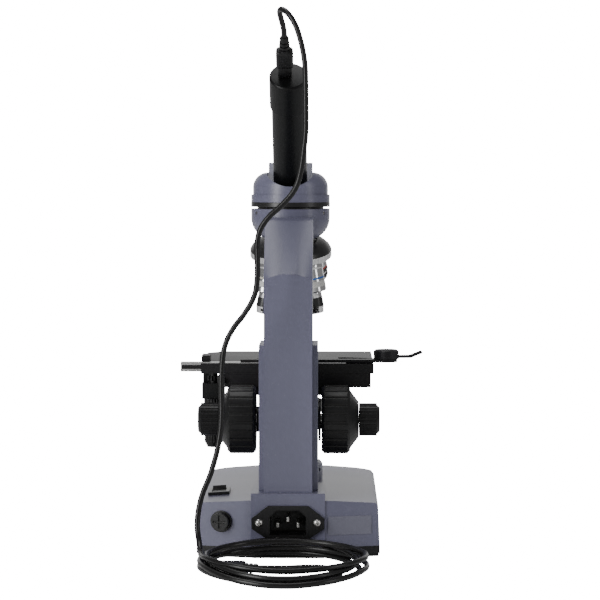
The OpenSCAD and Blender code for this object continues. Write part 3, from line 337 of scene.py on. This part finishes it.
# ---------------------------------------------------------------------------------------------
# Base.
# A cast housing in satin grey-blue paint, with drafted sides, a low crown and a raised foot for
# the arm, screwed down on a black moulded tray that stands on four rubber feet.
satin_paint = grained("grey blue satin paint", (0.135, 0.136, 0.205), (0.155, 0.155, 0.228), 0.36,
                      420, 0.10, rough_spread=0.05, coat=0.25, speck=0.25)
tray_plastic = grained("black tray plastic", (0.009, 0.009, 0.010), (0.014, 0.014, 0.015), 0.45,
                       800, 0.25, specular=0.35)
foot_rubber = grained("black rubber", (0.02, 0.02, 0.02), (0.03, 0.03, 0.03), 0.75, 600, 0.3)


def dressed(node, body, slot, material, edge, segments=2, angle=34):
    """A merged copy of a CAD node with its edges broken, which stands for the node."""
    source = bmesh.new()
    source.from_mesh(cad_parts[node].data)
    bmesh.ops.remove_doubles(source, verts=source.verts, dist=2e-6)
    bmesh.ops.dissolve_limit(source, angle_limit=radians(0.5), verts=source.verts,
                             edges=source.edges)
    made = piece(node + "_finished", source, slot, material)
    broken = made.modifiers.new("broken edges", "BEVEL")
    broken.width = edge * MM
    broken.segments = segments
    broken.limit_method = "ANGLE"
    broken.angle_limit = radians(angle)
    broken.harden_normals = True
    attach(made, body)
    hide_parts(node)
    return made


dressed("base_housing", "root", "grey_paint", satin_paint, 0.9, 3)
dressed("base_tray", "root", "black_plastic", tray_plastic, 0.5)
dressed("base_feet", "root", "rubber", foot_rubber, 0.3)

# ---------------------------------------------------------------------------------------------
# Power inlet, fuse, plate and switch.
# A black moulded appliance inlet with three plated pins, held by two bright domed screws, a
# fuse holder with a slotted cap, a blank foil plate, and a rocker switch in its snap-in frame.
inlet_plastic = grained("black inlet plastic", (0.006, 0.006, 0.0065), (0.010, 0.010, 0.0105), 0.3,
                        900, 0.12)
bright_steel = grained("bright plated steel", (0.66, 0.65, 0.63), (0.74, 0.73, 0.71), 0.2, 500,
                       0.04, metallic=1.0)
foil = grained("blank silver foil", (0.19, 0.19, 0.25), (0.22, 0.22, 0.28), 0.34, 300, 0.05,
               metallic=0.35)
fuse_glass, _, fuse_shader = new_material("fuse glass", (0.85, 0.9, 0.92), 0.05)
fuse_shader.inputs["Transmission Weight"].default_value = 0.9
dressed("power_inlet", "root", "black_gloss", inlet_plastic, 0.5, 3)
dressed("inlet_pins", "root", "steel", bright_steel, 0.7)
dressed("small_screws", "root", "chrome", bright_steel, 0.12)
dressed("fuse_holder", "root", "black_gloss", inlet_plastic, 0.4, 3)
dressed("fuse", "root", "glass", fuse_glass, 0.2)
dressed("fuse_cap", "fuse_cap", "black_gloss", inlet_plastic, 0.3)
dressed("rating_plate", "root", "label", foil, 0.15)
dressed("switch_frame", "root", "black_gloss", inlet_plastic, 0.4, 3)
dressed("switch_rocker", "rocker", "black_gloss", inlet_plastic, 0.3)

# ---------------------------------------------------------------------------------------------
# Lamp.
# A collar in the same satin paint on the crown of the base holds a thick domed collector lens
# over a small lamp on the circuit board, which feeds it from inside the base.
lens_glass, _, lens_shader = new_material("collector glass", (0.93, 0.96, 0.97), 0.03)
lens_shader.inputs["Transmission Weight"].default_value = 1.0
lens_shader.inputs["IOR"].default_value = 1.5
board_green = grained("green circuit board", (0.02, 0.11, 0.045), (0.03, 0.14, 0.06), 0.4, 300,
                      0.15)
dressed("lamp_collar", "root", "grey_paint", satin_paint, 0.6, 3)
dressed("collector_lens", "root", "glass", lens_glass, 0.3)
dressed("lamp", "root", "glass", fuse_glass, 0.2)
dressed("power_board", "root", "board", board_green, 0.2)

# ---------------------------------------------------------------------------------------------
# Arm and focus housing.
# One casting in the same satin paint: a column that bends forward over the stage and ends in
# the round bowl under the head. The housing round the focus drive is a second casting.
arm = dressed("arm", "root", "grey_paint", satin_paint, 0.9, 3)
arched = bmesh.new()
arched.from_mesh(arm.data)
HALF_COLUMN, BEND_Z, ARCH_RISE, STRIP, BACK_HALF = 16.75, 192, 3.6, 2.2, -0.03
for step in range(-7, 8):
    bmesh.ops.bisect_plane(arched, geom=arched.verts[:] + arched.edges[:] + arched.faces[:],
                           plane_co=(step * STRIP * MM, 0, 0), plane_no=(1, 0, 0))
for corner in arched.verts:
    if abs(corner.co.z - BEND_Z * MM) < 0.05 * MM and corner.co.y < BACK_HALF:
        corner.co.z += ARCH_RISE * MM * (1 - (corner.co.x / (HALF_COLUMN * MM)) ** 2)
arched.to_mesh(arm.data)
arched.free()
dressed("focus_housing", "root", "grey_paint", satin_paint, 0.9, 3)
dressed("stand_screws", "root", "steel", bright_steel, 0.2)
dressed("shaft_bushes", "root", "black_plastic", tray_plastic, 0.2)
dressed("dovetail_guide", "root", "steel", bright_steel, 0.2)

# ---------------------------------------------------------------------------------------------
# Focus knobs.
# Large moulded coarse knobs with chamfered, grooved grips and, outside them, small fine knobs with
# fine ribs, on one hollow and one solid steel shaft. A thin ring sets the tension.
knob_plastic = grained("black knob plastic", (0.007, 0.007, 0.0075), (0.012, 0.012, 0.0125), 0.36,
                       700, 0.15, specular=0.3)
dressed("coarse_knobs", "coarse", "black_gloss", knob_plastic, 0.35, 3, 24)
dressed("coarse_shaft", "coarse", "steel", bright_steel, 0.15)
dressed("fine_knobs", "fine", "black_gloss", knob_plastic, 0.2)
dressed("fine_shaft", "fine", "steel", bright_steel, 0.15)
dressed("tension_ring", "tension", "black_plastic", knob_plastic, 0.2)

# ---------------------------------------------------------------------------------------------
# Nosepiece.
# A black domed turret with a chromed and knurled rim turns on a tilted pivot under the bowl,
# and carries four screwed-in objectives.
black_enamel = grained("black satin enamel", (0.007, 0.007, 0.0075), (0.012, 0.012, 0.0125), 0.34,
                       500, 0.1, coat=0.2)
chrome = grained("polished chrome", (0.72, 0.72, 0.73), (0.78, 0.78, 0.79), 0.12, 900, 0.02,
                 metallic=1.0, rough_spread=0.04)
dressed("nosepiece_mount", "root", "black_paint", black_enamel, 0.5)
dressed("nosepiece_pivot", "root", "steel", bright_steel, 0.3)
dressed("nosepiece", "turret", "black_paint", black_enamel, 0.5, 3)
dressed("nosepiece_rim", "turret", "chrome", chrome, 0.12)

# ---------------------------------------------------------------------------------------------
# Objectives.
# Four chromed brass barrels, each with a plain shoulder, a groove, a coloured ring, a white ring
# and a black band on its polished nose. The short, fat low power one has black in place of white.
ring_white = grained("white ring paint", (0.72, 0.72, 0.7), (0.64, 0.64, 0.62), 0.4, 500, 0.05)
TURRET_TILT, TURRET_TURN, SEAT_R, SEAT_Z, AXIS_Y = 15, 43, 18.5, 195.9, 15
turret_frame = (Matrix.Translation((0, (AXIS_Y + SEAT_R * cos(radians(TURRET_TILT))) * MM,
                                    (SEAT_Z + SEAT_R * sin(radians(TURRET_TILT))) * MM))
                @ Matrix.Rotation(radians(TURRET_TILT), 4, "X"))


def objective(node, place, length, barrel, nose, nose_length, ring_color):
    """One objective, from its threaded neck down to its nose, hung on its seat."""
    seat = (turret_frame @ Matrix.Rotation(radians(TURRET_TURN + 90 * place), 4, "Z")
            @ Matrix.Translation((0, -SEAT_R * MM, 0))
            @ Matrix.Rotation(radians(-TURRET_TILT), 4, "X"))
    step = -(length - nose_length)
    body = lathe([(8, 4.4), (9.85, 4.4), (9.85, 0), (barrel + 0.5, 0), (barrel + 0.6, -0.3),
                  (barrel + 0.6, -2.7), (barrel + 0.45, -3), (barrel, -3.2), (barrel, -7),
                  (barrel - 0.25, -7.1), (barrel - 0.25, -7.5), (barrel, -7.6),
                  (barrel, step + 0.6), (barrel - 0.5, step - 0.1), (nose + 0.9, step - 0.8),
                  (nose + 0.8, -length + 3.9), (nose + 0.5, -length + 3.4), (nose, -length + 0.2),
                  (nose - 0.3, -length), (nose - 1.6, -length), (nose - 2.2, -length + 0.7),
                  (0, -length + 0.7)], 64, seat)
    bare = piece(node + "_barrel", body, "chrome", chrome)
    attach(bare, "turret")
    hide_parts(node)
    bands = ((barrel + 0.04, -9.4, -10.6, ring_color), (barrel + 0.03, -12.2, -16.4, ring_white),
             (nose + 0.98, -length + 11.7, -length + 5, black_enamel))
    for number, (radius, top, bottom, material) in enumerate(bands):
        if number == 1 and bottom < step + 1:
            radius, bottom, material = barrel + 0.06, step + 0.7, black_enamel
            top = -10.7
        if number == 2 and nose_length < 12:
            top, bottom = step - 0.9, 2.2 - length
        band = lathe([(radius - 0.6, top), (radius, top), (radius, bottom), (radius - 0.6, bottom),
                      (radius - 0.6, top)], 64, seat)
        band = piece(f"{node}_band_{number}", band, "chrome", material)
        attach(band, "turret")


ring_colors = [("red", (0.5, 0.03, 0.02)), ("yellow", (0.7, 0.5, 0.03)),
               ("blue", (0.03, 0.16, 0.55)), ("ivory", (0.75, 0.72, 0.62))]
rings = {name: grained(name + " ring enamel", color, [c * 0.85 for c in color], 0.3, 500, 0.04)
         for name, color in ring_colors}
objective("objective_4x", 1, 20, 11.3, 9.7, 6, rings["red"])
objective("objective_10x", 2, 32, 10.5, 7, 14, rings["yellow"])
objective("objective_40x", 0, 36, 10.3, 5.4, 16, rings["blue"])
objective("objective_100x", 3, 36.5, 10.3, 5, 16, rings["ivory"])

# ---------------------------------------------------------------------------------------------
# Head.
# The inclined head turns in the bowl on a black ring. It is a domed casting in the satin paint
# with a square block for the prism, whose flat face carries the eyepiece tube.
prism_glass, _, prism_shader = new_material("prism glass", (0.95, 0.97, 0.98), 0.02)
prism_shader.inputs["Transmission Weight"].default_value = 1.0
dressed("head_housing", "head", "grey_paint", satin_paint, 0.9, 4)
dressed("head_ring", "head", "black_paint", black_enamel, 0.4, 3)
dressed("head_prism", "head", "glass", prism_glass, 0.3)
dressed("eyepiece_tube", "head", "camera_black", black_enamel, 0.2)

# ---------------------------------------------------------------------------------------------
# Camera.
# A digital camera in place of the eyepiece: a long black anodised tube with a wider cap, whose
# socket takes the cord's plug.
anodised = grained("black anodised tube", (0.004, 0.004, 0.0045), (0.006, 0.006, 0.0065), 0.34,
                   1300, 0.1, specular=0.22)
dressed("camera_body", "head", "camera_black", anodised, 0.4, 3)
dressed("camera_cap", "head", "camera_black", anodised, 0.5, 3)
dressed("camera_sensor", "head", "glass", fuse_glass, 0.2)

# ---------------------------------------------------------------------------------------------
# Stage.
# Two black painted plates slide on a carrier that rides the steel dovetail. A steel rail moves
# the slide holder with its sprung clip, and coaxial knobs under the left edge drive both ways.
stage_paint = grained("black stage paint", (0.010, 0.009, 0.0105), (0.015, 0.014, 0.016), 0.42,
                      650, 0.2, specular=0.3)
rail_steel = grained("ground rail steel", (0.55, 0.55, 0.55), (0.63, 0.63, 0.62), 0.26, 250, 0.06,
                     metallic=1.0)
dressed("stage_carrier", "stage", "black_paint", stage_paint, 0.4)
dressed("focus_rack", "stage", "steel", bright_steel, 0.08)
dressed("lower_plate", "stage", "black_paint", stage_paint, 0.3)
dressed("upper_plate", "stage_y", "black_paint", stage_paint, 0.5, 3)
dressed("xy_gearbox", "stage_y", "black_plastic", knob_plastic, 0.3)
dressed("y_knob", "y_drive", "black_plastic", knob_plastic, 0.12)
dressed("x_knob", "x_drive", "black_plastic", knob_plastic, 0.12)
dressed("x_rail", "slide_carriage", "steel", rail_steel, 0.08)
# Painted shade: a thin black strip on the rail's rear face stands in for the dark inside of its
# groove.
painted_groove_shade = bmesh.new()
box_mm(painted_groove_shade, (117.4, 0.5, 2.5), (-18.9, -27.7, 126.5), 0.1, 1)
painted_groove_shade = piece("x_rail_painted_groove_shade", painted_groove_shade, "steel", stage_paint)
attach(painted_groove_shade, "slide_carriage")
dressed("slide_holder", "slide_carriage", "black_paint", stage_paint, 0.25)
dressed("clip_finger", "clip", "black_paint", stage_paint, 0.25)

# ---------------------------------------------------------------------------------------------
# Condenser.
# A black barrel with its lenses, on its own rack under the stage, with the iris lever and a
# swing-out filter ring at its foot and a small knob that raises it.
dressed("condenser", "condenser", "black_paint", black_enamel, 0.4)
dressed("condenser_lens", "condenser", "glass", lens_glass, 0.2)
dressed("iris_lever", "iris", "black_paint", black_enamel, 0.2)
dressed("filter_holder", "filter", "black_paint", black_enamel, 0.2)
dressed("condenser_knob", "condenser_drive", "black_plastic", knob_plastic, 0.12)

# ---------------------------------------------------------------------------------------------
# Studio.
# A plain white floor under soft light from a white sky and four large soft boxes, on the left,
# on the right, above and on the far side.
SKY_LIGHT, PURE_WHITE, FLOOR_WHITE = 0.24, 22.0, 18.0
floor_white, floor_tree, floor_shader = new_material("white floor", (0.9, 0.9, 0.9), 0.6)
lit = floor_tree.nodes.new("ShaderNodeEmission")
lit.inputs["Strength"].default_value = FLOOR_WHITE
looked_at = floor_tree.nodes.new("ShaderNodeLightPath")
floor_look = floor_tree.nodes.new("ShaderNodeMixShader")
floor_tree.links.new(looked_at.outputs["Is Camera Ray"], floor_look.inputs["Fac"])
floor_tree.links.new(floor_shader.outputs["BSDF"], floor_look.inputs[1])
floor_tree.links.new(lit.outputs["Emission"], floor_look.inputs[2])
floor_tree.links.new(floor_look.outputs["Shader"],
                     floor_tree.nodes["Material Output"].inputs["Surface"])
floor = bmesh.new()
bmesh.ops.create_grid(floor, x_segments=1, y_segments=1, size=6.0)
floor_mesh = bpy.data.meshes.new("floor")
floor.to_mesh(floor_mesh)
floor.free()
floor_mesh.materials.append(floor_white)
floor = bpy.data.objects.new("floor", floor_mesh)
bpy.context.collection.objects.link(floor)

world = bpy.data.worlds.new("white studio")
world.use_nodes = True
sky = world.node_tree.nodes["Background"]
sky.inputs["Color"].default_value = (1, 1, 1, 1)
sky.inputs["Strength"].default_value = SKY_LIGHT
backdrop = world.node_tree.nodes.new("ShaderNodeBackground")
backdrop.inputs["Strength"].default_value = PURE_WHITE
seen = world.node_tree.nodes.new("ShaderNodeLightPath")
either = world.node_tree.nodes.new("ShaderNodeMixShader")
world.node_tree.links.new(seen.outputs["Is Camera Ray"], either.inputs["Fac"])
world.node_tree.links.new(sky.outputs["Background"], either.inputs[1])
world.node_tree.links.new(backdrop.outputs["Background"], either.inputs[2])
world.node_tree.links.new(either.outputs["Shader"],
                          world.node_tree.nodes["World Output"].inputs["Surface"])
bpy.context.scene.world = world


def soft_box(name, place, aim, width, height, power):
    """A large soft area light at a place, turned towards a point."""
    light = bpy.data.lights.new(name, "AREA")
    light.shape = "RECTANGLE"
    light.size, light.size_y = width, height
    light.energy = power
    lamp = bpy.data.objects.new(name, light)
    lamp.location = place
    lamp.rotation_euler = (Vector(aim) - Vector(place)).to_track_quat("-Z", "Y").to_euler()
    lamp.visible_camera = False
    bpy.context.collection.objects.link(lamp)


soft_box("left soft box", (-1.1, -1.2, 0.6), (0, 0, 0.2), 0.6, 1.2, 17)
soft_box("right soft box", (1.5, -0.8, 0.7), (0, 0, 0.2), 0.4, 1.2, 4)
soft_box("top soft box", (-0.2, 0.3, 1.7), (0, 0, 0.1), 1.0, 1.0, 9)
soft_box("far soft box", (0, 1.5, 0.5), (0, 0, 0.1), 2.2, 0.9, 4.5)
